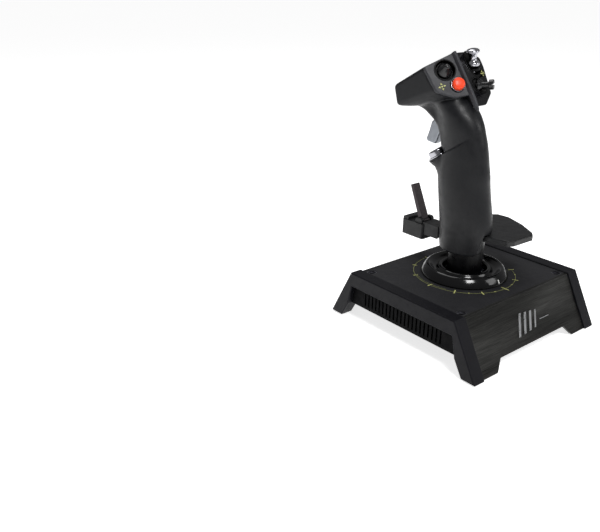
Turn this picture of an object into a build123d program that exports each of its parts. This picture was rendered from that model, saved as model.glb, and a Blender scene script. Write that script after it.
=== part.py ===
"""Flight joystick: a force-sensing hand grip on a weighted desk base.

Frame: +Z up, +Y away from the pilot, +X to the pilot's right. The origin is on the
desk, under the centre of the base. Millimetres.
"""
import math
import os

from build123d import *

os.makedirs("parts", exist_ok=True)

# ------------------------------------------------------------------ dimensions
BASE_W = 190.0          # outer width over both cheeks
TOP_HALF_Y = 68.0       # half depth at the cheek's top edge
FOOT_HALF_Y = 97.0      # half depth at the desk
BASE_H = 54.0           # cheek's top edge above the desk
LEG_Z = 1.2             # underside of the legs (rubber pads reach the desk)
CHEEK_T = 14.5          # cheek thickness
PLATE_Z = 52.4          # top face of the deck plate
PLATE_T = 3.0
PANEL_T = 3.0           # brushed end panels
PANEL_INSET = 1.5       # how far they sit below the cheek's edge
CUT_Z = 11.0            # underside of the panels between the legs
VENT_TOP, VENT_LOW = 39.0, 18.0
MOUNT_X, MOUNT_Y = 148.0, 117.0   # through-bolt spacing
MOUNT_R = 2.75
SWIVEL_R = 30.0         # swivel hub outer radius
BUSH_GAP = 0.05
COLLAR_R = 43.5
RIM_R = 37.0
SCALE_R = 51.0          # printed dial radius
NECK_R = 19.5
PIVOT_Z = 37.0          # height of the force sensor's flexing axes
G = 54.0                # grip heights below are counted from the cheek's top edge
WALL = 2.5              # grip shell wall
# handle sections: height, centre y, half width, half depth
HANDLE = [
    (45.0, 5.0, 20.6, 29.5), (54.0, 4.2, 22.0, 31.8), (77.0, 9.4, 22.0, 31.0),
    (96.0, 13.6, 21.0, 30.6), (112.0, 16.4, 19.6, 27.5), (128.0, 17.6, 18.6, 24.0),
    (145.0, 21.0, 18.0, 22.0), (157.0, 26.0, 18.0, 22.0), (168.0, 34.0, 18.5, 23.0),
    (182.0, 45.0, 18.0, 22.0),
]
STEM = (22.0, 46.0, 12.5, 19.5, 21.0)     # low, high, centre y, half width, half depth
RIDGE_LOW = Vector(0, 3.8, G + 165.6)     # the head's back ridge
RIDGE_TOP = Vector(0, 37.7, G + 212.5)
HEAD_HALF = 28.0
PANEL_PLATE = 2.5

SLOPE = (FOOT_HALF_Y - TOP_HALF_Y) / BASE_H
U = (RIDGE_TOP - RIDGE_LOW).normalized()
N_RIGHT = Vector(0, -U.Z, U.Y)
_v = Vector(-28, 17.05, 0)
N_LEFT = U.cross(_v).normalized()
if N_LEFT.Y > 0:
    N_LEFT = N_LEFT * -1
ACROSS_LEFT = U.cross(N_LEFT)             # along the left panel, towards +X


def out(name, shape):
    if isinstance(shape, (list, ShapeList)):
        shape = Compound(children=list(shape))
    shape.label = name
    export_step(shape, f"parts/{name}.step")
    return shape


def yz_prism(points, x0, x1):
    """Polygon in Y and Z, swept from x0 to x1."""
    face = Face(Wire.make_polygon([Vector(x0, y, z) for y, z in points], close=True))
    s = Solid.extrude(face, Vector(x1 - x0, 0, 0))
    return s


def xy_prism(points, z0, z1):
    face = Face(Wire.make_polygon([Vector(x, y, z0) for x, y in points], close=True))
    return Solid.extrude(face, Vector(0, 0, z1 - z0))


def frame_at(p, n, up=U):
    """Plane at p with normal n, local y towards up."""
    y = (up - n * up.dot(n)).normalized()
    return Plane(origin=p, x_dir=y.cross(n), z_dir=n)


def cyl(plane, r, z0, z1, inner=0.0):
    c = plane * Pos(0, 0, z0) * Cylinder(r, z1 - z0, align=(Align.CENTER, Align.CENTER, Align.MIN))
    if inner:
        c = c - plane * Pos(0, 0, z0 - 1) * Cylinder(inner, z1 - z0 + 2, align=(Align.CENTER, Align.CENTER, Align.MIN))
    return c


def box_at(plane, lx, ly, z0, z1):
    return plane * Pos(0, 0, z0) * Box(lx, ly, z1 - z0, align=(Align.CENTER, Align.CENTER, Align.MIN))


def rev(plane, pts):
    """Revolve (r, z) points about the plane's normal."""
    face = Face(Wire.make_polygon([Vector(r, 0, z) for r, z in pts], close=True))
    s = Solid.revolve(face, 360, Axis.Z)
    return plane * s


def halfspace(p, n, size=900):
    """Everything on the outward side of the plane through p with outward normal n."""
    pl = Plane(origin=p, z_dir=n)
    return pl * Box(size, size, size, align=(Align.CENTER, Align.CENTER, Align.MIN))


def chamfer_try(shape, edges, size):
    try:
        got = chamfer(edges, size)
        if got.is_valid and got.volume > 0:
            return got
    except Exception as err:
        print("chamfer skipped:", err)
    return shape


def fillet_try(shape, edges, size):
    try:
        got = fillet(edges, size)
        if got.is_valid and got.volume > 0:
            return got
    except Exception as err:
        print("fillet skipped:", err)
    return shape


ZP = Plane.XY
X_IN = BASE_W / 2 - CHEEK_T

# ------------------------------------------------------------------ base cheeks
def edge_y(z, inset=0.0):
    """Half depth of the sloped end face at height z, inset square to the slope."""
    n = math.hypot(1, SLOPE)
    return TOP_HALF_Y + (BASE_H - z) * SLOPE - inset * n


leg_in = edge_y(LEG_Z) - 15.6
cheek_pts = [(-TOP_HALF_Y, BASE_H), (TOP_HALF_Y, BASE_H), (edge_y(LEG_Z), LEG_Z), (leg_in, LEG_Z),
             (71.0, VENT_LOW), (66.5, VENT_TOP), (-66.5, VENT_TOP), (-71.0, VENT_LOW), (-leg_in, LEG_Z), (-edge_y(LEG_Z), LEG_Z)]
pads = []
for sx in (-1, 1):
    for sy in (-1, 1):
        x0, x1 = sorted((sx * (BASE_W / 2 - 2.5), sx * (X_IN + 2.0)))
        y0, y1 = sorted((sy * (edge_y(LEG_Z) - 3.0), sy * (leg_in + 2.0)))
        pads.append(Pos((x0 + x1) / 2, (y0 + y1) / 2, 0) * Box(x1 - x0, y1 - y0, 3.0, align=(Align.CENTER, Align.CENTER, Align.MIN)))
for name, sx in (("left_cheek", -1), ("right_cheek", 1)):
    x0, x1 = sorted((sx * X_IN, sx * BASE_W / 2))
    cheek = yz_prism(cheek_pts, x0, x1)
    xo = sx * BASE_W / 2
    outer = [e for e in cheek.edges() if abs(e.center().X - xo) < 0.01]
    cheek = chamfer_try(cheek, outer, 1.0)
    top = [e for e in cheek.edges() if abs(e.center().X - sx * X_IN) < 0.01 and (e.center().Z > BASE_H - 0.1)]
    cheek = chamfer_try(cheek, top, 0.8)
    for p in pads:
        cheek = cheek - p
    out(name, cheek)
out("rubber_feet", pads)

# vent panels, set back in the cheeks' windows
for name, sx in (("left_vent_panel", -1), ("right_vent_panel", 1)):
    x0, x1 = sorted((sx * 86.5, sx * 89.5))
    panel = yz_prism([(-66.5, VENT_TOP), (-71.0, VENT_LOW), (71.0, VENT_LOW), (66.5, VENT_TOP)], x0, x1)
    for i in range(21):
        y = -50 + 5 * i
        panel = panel - Pos((x0 + x1) / 2, y, 28.5) * Box(8, 2.0, 14.0)
    out(name, panel)

# deck plate
yi = edge_y(PLATE_Z, PANEL_INSET) - PANEL_T * math.hypot(1, SLOPE)
yi2 = yi + PLATE_T * SLOPE
deck = yz_prism([(-yi, PLATE_Z), (yi, PLATE_Z), (yi2, PLATE_Z - PLATE_T), (-yi2, PLATE_Z - PLATE_T)], -X_IN, X_IN)
BUSH_R = 36.0
deck = deck - Pos(0, 0, 50) * Cylinder(BUSH_R, 20)
SLEEVE_R = 5.0
mounts = [(sx * MOUNT_X / 2, sy * MOUNT_Y / 2) for sx in (-1, 1) for sy in (-1, 1)]
for x, y in mounts:
    deck = deck - Pos(x, y, 50) * Cylinder(SLEEVE_R, 20)
out("deck_plate", deck)

# brushed end panels
for name, sy in (("pilot_panel", -1), ("nose_panel", 1)):
    yo_t, yo_b = edge_y(PLATE_Z, PANEL_INSET), edge_y(LEG_Z, PANEL_INSET)
    t = PANEL_T * math.hypot(1, SLOPE)
    panel = yz_prism([(sy * yo_t, PLATE_Z), (sy * yo_b, LEG_Z), (sy * (yo_b - t), LEG_Z), (sy * (yo_t - t), PLATE_Z)], -X_IN, X_IN)
    cut = Face(Wire.make_polygon([Vector(-60, 0, LEG_Z - 1), Vector(-50, 0, CUT_Z), Vector(50, 0, CUT_Z), Vector(60, 0, LEG_Z - 1)], close=True))
    panel = panel - Solid.extrude(cut, Vector(0, sy * 130, 0))
    if sy > 0:
        # openings for the two sockets
        zc = 28.0
        yc = edge_y(zc, PANEL_INSET)
        pn = Plane(origin=(0, yc, zc), x_dir=(-1, 0, 0), z_dir=Vector(0, 1, SLOPE).normalized())
        panel = panel - pn * Pos(-16, 0, 0) * Cylinder(7.0, 20)
        panel = panel - pn * Pos(16, 0, 0) * Box(15, 13, 20)
    out(name, panel)

# sockets in the nose panel
zc = 28.0
yc = edge_y(zc, PANEL_INSET)
PN = Plane(origin=(0, yc, zc), x_dir=(-1, 0, 0), z_dir=Vector(0, 1, SLOPE).normalized())
round_socket = cyl(PN * Pos(-16, 0, 0), 7.0, -12, 0.8) - cyl(PN * Pos(-16, 0, 0), 4.8, -8, 2) 
for a in (0, 120, 240):
    round_socket = round_socket - PN * Pos(-16 + 2.4 * math.cos(math.radians(a)), 2.4 * math.sin(math.radians(a)), -10.5) * Cylinder(0.5, 5, align=(Align.CENTER, Align.CENTER, Align.MIN))
out("link_socket", round_socket)
usb = PN * Pos(16, 0, -14) * Box(15, 13, 14.8, align=(Align.CENTER, Align.CENTER, Align.MIN))
usb = usb - PN * Pos(16, 0, -10) * Box(9.0, 8.4, 14, align=(Align.CENTER, Align.CENTER, Align.MIN))
usb = usb + PN * Pos(16, 0, -10.2) * Box(5.6, 2.2, 5.0, align=(Align.CENTER, Align.CENTER, Align.MIN))
out("usb_socket", usb)

# bottom plate, ballast, board
yb = edge_y(12.0, PANEL_INSET) - PANEL_T * math.hypot(1, SLOPE)
bottom = yz_prism([(-yb, 12.0), (yb, 12.0), (yb - 2.5 * SLOPE, 14.5), (-(yb - 2.5 * SLOPE), 14.5)], -X_IN, X_IN)
for x, y in mounts:
    bottom = bottom - Pos(x, y, 13) * Cylinder(SLEEVE_R, 20)
SCREW_XY = [(sx * x, sy * 76) for sx in (-1, 1) for sy in (-1, 1) for x in (38, 70)]
for x, y in SCREW_XY:
    bottom = bottom - Pos(x, y, 13) * Cylinder(1.7, 20) - Pos(x, y, 11) * Cylinder(3.1, 3.0, align=(Align.CENTER, Align.CENTER, Align.MIN))
out("bottom_plate", bottom)
screws = []
for x, y in SCREW_XY:
    s = Pos(x, y, 12.3) * Cylinder(2.9, 1.6, align=(Align.CENTER, Align.CENTER, Align.MIN)) + Pos(x, y, 13.0) * Cylinder(1.5, 7.5, align=(Align.CENTER, Align.CENTER, Align.MIN))
    s = s - Pos(x, y, 11.8) * Box(4.2, 0.8, 1.2, align=(Align.CENTER, Align.CENTER, Align.MIN)) - Pos(x, y, 11.8) * Box(0.8, 4.2, 1.2, align=(Align.CENTER, Align.CENTER, Align.MIN))
    screws.append(s)
out("bottom_screws", screws)
rails = []
for sx in (-1, 1):
    for sy in (-1, 1):
        r = Pos(sx * 55, sy * 76, 14.5) * Box(46, 8, 7.5, align=(Align.CENTER, Align.CENTER, Align.MIN))
        for x in (38, 70):
            r = r - Pos(sx * x, sy * 76, 14) * Cylinder(1.5, 12, align=(Align.CENTER, Align.CENTER, Align.MIN))
        rails.append(r)
out("screw_rails", rails)
sleeves = []
for x, y in mounts:
    s = cyl(Plane(origin=(x, y, 0)), SLEEVE_R, 12.0, PLATE_Z - 0.4, MOUNT_R)
    s = s - cyl(Plane(origin=(x, y, 0)), 4.1, PLATE_Z - 2.2, PLATE_Z + 1)
    sleeves.append(s)
out("mounting_sleeves", sleeves)
ballast = Pos(0, 0, 14.5) * Box(116, 100, 6.5, align=(Align.CENTER, Align.CENTER, Align.MIN)) - Pos(0, 0, 17) * Cylinder(34, 20)
out("ballast_plate", ballast)
board = Pos(0, 58, 21.0) * Box(100, 12, 1.6, align=(Align.CENTER, Align.CENTER, Align.MIN))
for x in (-40, -15, 12, 38):
    board = board + Pos(x, 58, 22.6) * Box(9, 8, 1.4, align=(Align.CENTER, Align.CENTER, Align.MIN))
board = board + Pos(-44, 58, 14.5) * Cylinder(2.5, 6.5, align=(Align.CENTER, Align.CENTER, Align.MIN)) + Pos(44, 58, 14.5) * Cylinder(2.5, 6.5, align=(Align.CENTER, Align.CENTER, Align.MIN))
out("main_board", board)

# badge on the pilot's panel: a plain frame with slanted bars
zc2 = 28.5
PB = Plane(origin=(0, -edge_y(zc2, PANEL_INSET), zc2), x_dir=(1, 0, 0), z_dir=Vector(0, -1, SLOPE).normalized())
bars = []
for i, (w, h) in enumerate(((3.0, 14.0), (3.0, 14.0), (3.0, 14.0))):
    cx = -12 + i * 7.0
    pts = [(cx - w / 2 - 2.6, -h / 2), (cx + w / 2 - 2.6, -h / 2), (cx + w / 2 + 2.6, h / 2), (cx - w / 2 + 2.6, h / 2)]
    f = Face(Wire.make_polygon([PB.from_local_coords(Vector(x, y, 0)) for x, y in pts], close=True))
    bars.append(Solid.extrude(f, PB.z_dir * 0.5))
f = Face(Wire.make_polygon([PB.from_local_coords(Vector(x, y, 0)) for x, y in [(9, -7), (24, -7), (25.5, -5.6), (9.6, -5.6)]], close=True))
bars.append(Solid.extrude(f, PB.z_dir * 0.5))
out("badge", bars)

# printed dial on the deck
marks = []
ring = Pos(0, 0, PLATE_Z) * Cylinder(SCALE_R + 0.35, 0.15, align=(Align.CENTER, Align.CENTER, Align.MIN)) - Pos(0, 0, PLATE_Z) * Cylinder(SCALE_R - 0.35, 1, align=(Align.CENTER, Align.CENTER, Align.MIN))
ring = ring - xy_prism([(0, 0), (0, 90), (90, 90), (90, -50)], PLATE_Z - 1, PLATE_Z + 2)
for a in range(90, 331, 30):
    if a == 270:
        r0, r1, w = SCALE_R - 1.0, SCALE_R + 6.0, 1.3
    else:
        r0, r1, w = SCALE_R - 1.0, SCALE_R + 3.6, 0.9
    ring = ring + Rot(0, 0, a) * Pos((r0 + r1) / 2, 0, PLATE_Z) * Box(r1 - r0, w, 0.15, align=(Align.CENTER, Align.CENTER, Align.MIN))
for a in (225, 315):
    ring = ring + Rot(0, 0, a) * Pos(SCALE_R, 0, PLATE_Z) * Cylinder(1.0, 0.15, align=(Align.CENTER, Align.CENTER, Align.MIN))
out("dial_scale", ring)

# swivel bush in the deck
bush = cyl(ZP, BUSH_R, 44.0, PLATE_Z - 0.2, SWIVEL_R + BUSH_GAP)
bush = bush + cyl(ZP, 39.5, 47.0, PLATE_Z - PLATE_T, BUSH_R - 0.5)
out("swivel_bush", bush)
# carrier ring under the bush that holds it down to the ballast with four posts
carrier = cyl(ZP, 44.0, 44.0, 47.0, BUSH_R)
for a in (45, 135, 225, 315):
    x, y = 40.2 * math.cos(math.radians(a)), 40.2 * math.sin(math.radians(a))
    carrier = carrier + Pos(x, y, 21.0) * Cylinder(2.8, 23.2, align=(Align.CENTER, Align.CENTER, Align.MIN))
out("bush_carrier", carrier)

# ------------------------------------------------------------------ turntable
collar = rev(ZP, [(SWIVEL_R - 3, 52.7), (43.5, 52.7), (43.9, 53.6), (43.2, 55.6), (41.4, 58.4), (39.2, 61.2), (37.6, 62.3), (36.4, 62.3),
                  (34.8, 61.2), (31.5, 58.4), (28.6, 57.3), (27.2, 58.6), (26.0, 60.4), (24.2, 61.0), (22.6, 60.4), (22.0, 58.6), (22.0, 54.0), (SWIVEL_R - 3, 54.0)])
out("collar", collar)
hub = cyl(ZP, SWIVEL_R, 24.0, 52.7, SWIVEL_R - 3.0)
hub = hub + cyl(ZP, SWIVEL_R, 21.5, 24.0)
hub = hub - cyl(ZP, 6.0, 20.0, 25.0)
out("turntable_hub", hub)
nut = cyl(ZP, 35.5, 39.3, 43.6, SWIVEL_R)
for a in range(0, 360, 30):
    nut = nut - Rot(0, 0, a) * Pos(35.5, 0, 41.7) * Cylinder(1.6, 6)
out("hub_nut", nut)
# white index on the collar's outer slope, at the pilot's side
ix = Face(Wire.make_polygon([Vector(-0.7, -43.45, 54.95), Vector(0.7, -43.45, 54.95), Vector(0.7, -41.4, 58.45), Vector(-0.7, -41.4, 58.45)], close=True))
index = Solid.extrude(ix, Vector(0, -0.52, 0.30)) - collar
out("collar_index", index)
# sensor stack inside the hub
sensor_base = cyl(ZP, 20.0, 24.0, 29.0, 6.0) + Pos(0, 12, 29) * Box(14, 5, 3.2, align=(Align.CENTER, Align.CENTER, Align.MIN)) + Pos(0, -12, 29) * Box(14, 5, 3.2, align=(Align.CENTER, Align.CENTER, Align.MIN))
out("sensor_base", sensor_base)
roll_block = box_at(ZP, 30, 30, 33.2, 36.4) - cyl(ZP, 6.0, 30, 40)
for sx in (-1, 1):
    roll_block = roll_block + Pos(sx * 12.0, 0, 36.4) * Box(5, 14, 1.6, align=(Align.CENTER, Align.CENTER, Align.MIN))
out("roll_sensor", roll_block)
pitch_block = box_at(ZP, 30, 30, 39.0, 43.0) - cyl(ZP, 6.0, 38, 44)
out("pitch_sensor", pitch_block)
shaft = cyl(ZP, 17.0, 44.0, 48.0) + cyl(ZP, 9.0, 48.0, 118.0)
shaft = shaft - cyl(ZP, 5.8, 43.0, 120.0)
out("stick_shaft", shaft)

# ------------------------------------------------------------------ neck
neck = rev(ZP, [(9.0, 54.6), (18.4, 54.6), (19.5, 56.0), (19.5, G + 44.0), (18.9, G + 44.9), (9.0, G + 44.9)])

# ------------------------------------------------------------------ grip solids
def ellipse_at(z, cy, w, d):
    return Plane(origin=(0, cy, z)) * Ellipse(w, d)


def handle_solid(shrink=0.0, z_lo=None, z_hi=None):
    secs = []
    for z, cy, w, d in HANDLE:
        secs.append(ellipse_at(G + z, cy, w - shrink, d - shrink))
    s = loft(Sketch() + secs)
    return s


def stem_solid(shrink=0.0, dz=0.0):
    lo, hi, cy, w, d = STEM
    return Pos(0, cy, G + lo - dz) * extrude(Ellipse(w - shrink, d - shrink), hi - lo + dz + 1.0)


def head_solid(side, wall=0.0, plate=0.0):
    """side -1 left, +1 right. wall pulls every face in; plate pulls the back panel in."""
    b = Pos(side * 20, 60, G + 185) * Box(40, 140, 90)
    b = b - halfspace(Vector(0, 0, G + 185), Vector(-side, 0, 0))
    cuts = []
    if side < 0:
        cuts.append((RIDGE_LOW - N_LEFT * plate, N_LEFT))
        p1, p2, p3 = Vector(-24, 85, G + 180), Vector(-28, 45, G + 202), Vector(0, 37.7, G + 212.5)
        n = (p2 - p1).cross(p3 - p2).normalized()
        if n.Z < 0:
            n = n * -1
        cuts.append((p2 - n * wall, n))
        sn = Vector(-1, -0.1, 0).normalized()
        cuts.append((Vector(-28.6, 40, 0) - sn * wall, sn))
        bn = Vector(0, -15.1, -49.7).normalized()
        cuts.append((Vector(0, 13.3, G + 175.2) - bn * wall, bn))
        bl = Vector(-0.584, -0.349, -0.732).normalized()
        cuts.append((Vector(-29.4, 32.0, G + 179.5) - bl * wall, bl))
    else:
        cuts.append((RIDGE_LOW - N_RIGHT * plate, N_RIGHT))
        rn = Vector(0, 29.5, 48.3).normalized()
        cuts.append((Vector(0, 37.7, G + 212.5) - rn * wall, rn))
        tn = Vector(0.42, 0.1, 0.9).normalized()
        cuts.append((Vector(20, 36, G + 212.5) - tn * wall, tn))
        sn = Vector(1, -0.05, -0.19).normalized()
        cuts.append((Vector(32.4, 19.8, G + 187.8) - sn * wall, sn))
        fl = Vector(1, 0.12, 0).normalized()
        cuts.append((Vector(33.0, 45, G + 190) - fl * wall, fl))
        br = Vector(0.555, -0.05, -0.83).normalized()
        cuts.append((Vector(25.5, 9.0, G + 172.2) - br * wall, br))
        bn = Vector(0.10, -5.0, -53).normalized()
        cuts.append((Vector(0, 3.8, G + 165.6) - bn * wall, bn))
    fn = Vector(0, 19, -5).normalized()
    cuts.append((Vector(0, 82.5, G + 180) - fn * wall, fn))
    tf = Vector(0, 0.8, 0.6).normalized()
    cuts.append((Vector(0, 81.0, G + 183.5) - tf * wall, tf))
    un = Vector(0, 0, -1)
    cuts.append((Vector(0, 0, G + 160) - un * wall, un))
    for p, n in cuts:
        b = b - halfspace(p, n)
    return b


def mirror_side(side):
    return halfspace(Vector(0, 40, 130), Vector(-side, 0, 0), 900)


handle_out, handle_in = handle_solid(), handle_solid(WALL)
handle_in_low = handle_in
stem_out, stem_in = stem_solid(), stem_solid(WALL, 1.0)
TRIG_W = 9.0
trigger_slot = yz_prism([(30, G + 154.5), (50, G + 154.5), (72, G + 130), (60, G + 119), (30, G + 119)], -TRIG_W / 2 - 0.5, TRIG_W / 2 + 0.5)

# finger ledge with the bore for the chrome push button
LEDGE_C = Vector(-6.0, 40.5, G + 113.5)
LEDGE_N = Vector(-0.22, 0.52, 0.82).normalized()
LP = frame_at(LEDGE_C, LEDGE_N, Vector(0, 0, 1))
ledge = LP * loft(Sketch() + [Plane(origin=(0, 0, 0)) * Circle(11.0), Plane(origin=(0, 1.0, -9)) * Ellipse(11.0, 11.6), Plane(origin=(0, 4.0, -24)) * Ellipse(8.0, 10.0)])
ledge_bore = cyl(LP, 9.2, -9.0, 6.0)
ledge_seat = cyl(LP, 3.2, -17.0, 5.0)
nws_seat = cyl(LP, 10.2, -3.0, 6.0) + cyl(LP, 10.9, 0.0, 14.0)


# ------------------------------------------------------------------ thumb panels
def left_at(u, a, h=0.0):
    return RIDGE_LOW + U * u + ACROSS_LEFT * a + N_LEFT * h


def right_at(x, u, h=0.0):
    return RIDGE_LOW + U * u + Vector(x, 0, 0) + N_RIGHT * h


if ACROSS_LEFT.X < 0:
    ACROSS_LEFT = ACROSS_LEFT * -1
TRIM_PL = frame_at(left_at(44.0, -14.7), N_LEFT)
RED_PL = frame_at(left_at(26.3, -9.2), N_LEFT)
VIEW_AX = Vector(-0.18, 0.0, 0.984).normalized()
VIEW_PL = frame_at(right_at(19.8, 43.2), VIEW_AX, Vector(0, 1, 0))
CASTLE_AX = Vector(0.50, -0.86, 0.10).normalized()
CASTLE_PL = frame_at(right_at(16.0, 21.4), CASTLE_AX, Vector(0, 0, 1))
TRIM_R, VIEW_R, CASTLE_R = 10.6, 8.7, 7.6      # wells, outside
CUP_WALL = 0.9
CUP_FLOOR, CUP_BASE = -9.0, -10.2
HAT_PIVOT = -4.2
for n, p in (("trim", TRIM_PL), ("red", RED_PL), ("view", VIEW_PL), ("castle", CASTLE_PL), ("ledge", LP)):
    print("PLANE", n, [round(v, 3) for v in p.origin], [round(v, 4) for v in p.x_dir], [round(v, 4) for v in p.y_dir], [round(v, 4) for v in p.z_dir])

full = {s: head_solid(s) for s in (-1, 1)}
core = {s: head_solid(s, 0.0, PANEL_PLATE) for s in (-1, 1)}
cavity = {s: head_solid(s, WALL, PANEL_PLATE) for s in (-1, 1)}
RIB_W = 3.0
rib_pts = [RIDGE_LOW - U * 3.0 + N_RIGHT * 2.2, RIDGE_TOP + U * 0.4 + N_RIGHT * 2.2, RIDGE_TOP + U * 0.4 - N_RIGHT * 2.6, RIDGE_LOW - U * 3.0 - N_RIGHT * 2.6]
rib = yz_prism([(p.Y, p.Z) for p in rib_pts], -RIB_W / 2, RIB_W / 2)
groove_pts = [RIDGE_LOW - U * 9.0 + N_RIGHT * 5, RIDGE_TOP + U * 9 + N_RIGHT * 5, RIDGE_TOP + U * 9 + N_RIGHT * 1.3, RIDGE_LOW - U * 9.0 + N_RIGHT * 1.3]
groove = yz_prism([(p.Y, p.Z) for p in groove_pts], -0.4, 0.4)
out("centre_rib", rib - groove)

below_left = halfspace(left_at(30, -10), N_LEFT)
below_right = halfspace(right_at(15, 30), N_RIGHT)


def cup(pl, r, cut):
    c = cyl(pl, r, CUP_BASE, 14.0) - cyl(pl, r - CUP_WALL, CUP_FLOOR, 15.0)
    return c - cut


trim_cup = cup(TRIM_PL, TRIM_R, below_left) - rib
view_cup = cup(VIEW_PL, VIEW_R, below_right) - rib
castle_cup = cup(CASTLE_PL, CASTLE_R, below_right) - rib - cyl(VIEW_PL, VIEW_R, CUP_BASE, 14.0)
red_guard = cyl(RED_PL, 6.85, -2.5, 1.8, 6.3)
red_guard = fillet_try(red_guard, red_guard.edges().filter_by(GeomType.CIRCLE).sort_by(lambda e: e.center().dot(N_LEFT))[-2:], 0.2)
red_guard = red_guard - rib
red_cup = cyl(RED_PL, 6.85, -11.0, -2.5) - cyl(RED_PL, 6.3, -9.0, -2.0)
red_cup = red_cup - rib

plate_l = full[-1] - core[-1] - cyl(TRIM_PL, TRIM_R, -12, 6) - cyl(RED_PL, 6.85, -12, 6) - rib
plate_r = full[1] - core[1] - cyl(VIEW_PL, VIEW_R, -12, 16) - cyl(CASTLE_PL, CASTLE_R, -12, 16) - rib
out("left_thumb_panel", plate_l)
out("right_thumb_panel", plate_r)

# ------------------------------------------------------------------ grip shells
TPIV = (40.0, G + 149.0)
pin_t = Pos(0, TPIV[0], TPIV[1]) * Rot(0, 90, 0) * Cylinder(1.5, 19.0)
nws_box = box_at(LP, 10, 10, -23.5, -17.2)
trig_switch = Pos(0, 28.2, G + 130) * Box(7, 6.4, 11) + Pos(0, 32.4, G + 131) * Box(4, 2.0, 3)
board_g = Pos(0, 4, G + 88) * Box(22, 1.6, 34)
for dz in (-11, -3, 6, 13):
    board_g = board_g + Pos(3 if dz > 0 else -4, 5.4, G + 88 + dz) * Box(7, 1.2, 5)
SCREWS = [(25.0, G + 62.0, 13.4), (16.0, G + 112.0, 15.5), (18.0, G + 140.0, 14.4), (64.0, G + 172.5, 22.5)]
bosses, grip_screws, holes = [], [], []
for y, z, xh in SCREWS:
    rod = lambda r, x0, x1: Pos((x0 + x1) / 2, y, z) * Rot(0, 90, 0) * Cylinder(r, x1 - x0)
    bosses.append(rod(4.2, -24, 24))
    sc = rod(1.4, -11, xh) + rod(2.9, xh, xh + 2.2)
    sc = sc - Pos(xh + 2.2, y, z) * Rot(0, 90, 0) * Box(4.0, 0.8, 1.6) - Pos(xh + 2.2, y, z) * Rot(0, 90, 0) * Box(0.8, 4.0, 1.6)
    grip_screws.append(sc)
    holes.append(rod(1.4, -11, xh) + rod(2.9, xh, xh + 14))
out("grip_screws", grip_screws)
shaft_core = cyl(ZP, 9.0, 40, 118.0)
floor_cut = Pos(0, 0, 0) * Box(200, 200, 2 * (G + 48.0))
handle_hollow = handle_in - floor_cut
stem_hollow = Pos(0, STEM[2], G + 24.5) * extrude(Ellipse(STEM[3] - WALL, STEM[4] - WALL), 25.0)
shells = {}
for side in (-1, 1):
    half = mirror_side(side)
    s = (handle_out + stem_out) - half
    s = s + core[side]
    s = s + (ledge - half)
    s = s - cavity[side] - handle_hollow - stem_hollow
    for i, b in enumerate(bosses):
        b = b - half
        b = b & (handle_out if i < 3 else core[side])
        s = s + b
    s = s - trigger_slot - ledge_bore - ledge_seat - nws_seat - rib - shaft_core - pin_t
    for h in holes:
        s = s - h
    s = s - nws_box - trig_switch
    if side > 0:
        s = s - cyl(VIEW_PL, VIEW_R, CUP_BASE, 16) - cyl(CASTLE_PL, CASTLE_R, CUP_BASE, 16)
    s = s - cyl(TRIM_PL, TRIM_R, CUP_BASE, 6) - cyl(RED_PL, 6.85, -11.0, 6)
    # anything left above the panel seat belongs to the plates
    s = s - (full[side] - core[side])
    sol = sorted(s.solids(), key=lambda q: -q.volume)
    print("shell", side, [round(q.volume) for q in sol], s.is_valid)
    s = sol[0]
    shells[side] = s
out("grip_left_shell", shells[-1])
out("grip_right_shell", shells[1])
trim_cup = trim_cup - shells[-1] - shells[1]
view_cup = view_cup - shells[1]
castle_cup = castle_cup - shells[1]
red_cup = red_cup - shells[-1] - shells[1] - trim_cup


def biggest(s):
    return sorted(s.solids(), key=lambda q: -q.volume)[0]


out("trim_hat_well", biggest(trim_cup))
out("view_hat_well", biggest(view_cup))
out("castle_hat_well", biggest(castle_cup))
out("red_button_guard", red_guard)
out("red_button_switch", biggest(red_cup))
out("nws_switch", nws_box)
out("trigger_switch", trig_switch)
out("grip_board", board_g - shaft_core)
out("stick_shaft", shaft)
out("neck_sleeve", neck - stem_out - shaft_core)
out("trigger_pin", pin_t)

# ------------------------------------------------------------------ hats
def hat(name, pl, profile, ring_r, notches=False):
    ring = cyl(pl, ring_r, HAT_PIVOT - 1.0, HAT_PIVOT + 1.0, ring_r - 2.2)
    out(name + "_cradle", ring)
    cap = rev(pl, profile)
    if notches:
        for a in (0, 90):
            cap = cap - pl * Pos(0, 0, profile[-2][1]) * Rot(0, 0, a) * Box(20, 2.2, 2.8)
    out(name + "_cap", cap)


hat("trim_hat", TRIM_PL, [(0, -8), (2.2, -8), (2.2, -1.6), (7.0, -1.6), (7.3, -0.9), (5.9, 0.9), (4.2, 3.2), (3.0, 5.8), (2.3, 7.6), (1.3, 8.4), (0, 8.6)], 8.2)
hat("view_hat", VIEW_PL, [(0, -8), (2.0, -8), (2.0, -1.6), (5.2, -1.6), (6.1, -0.6), (6.5, 1.2), (5.9, 2.4), (4.3, 3.8), (3.5, 5.6), (3.6, 7.6), (4.6, 9.9),
                             (6.1, 11.4), (6.5, 12.2), (6.3, 13.3), (5.2, 14.4), (3.0, 15.1), (0, 15.3)], 6.6)
hat("castle_hat", CASTLE_PL, [(0, -8), (2.0, -8), (2.0, -1.6), (5.2, -1.6), (5.5, -0.8), (4.2, 0.8), (3.0, 2.4), (2.8, 8.4), (4.8, 9.2), (4.9, 12.9), (4.4, 13.6), (3.0, 13.6), (0, 13.6)], 5.7, True)

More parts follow.
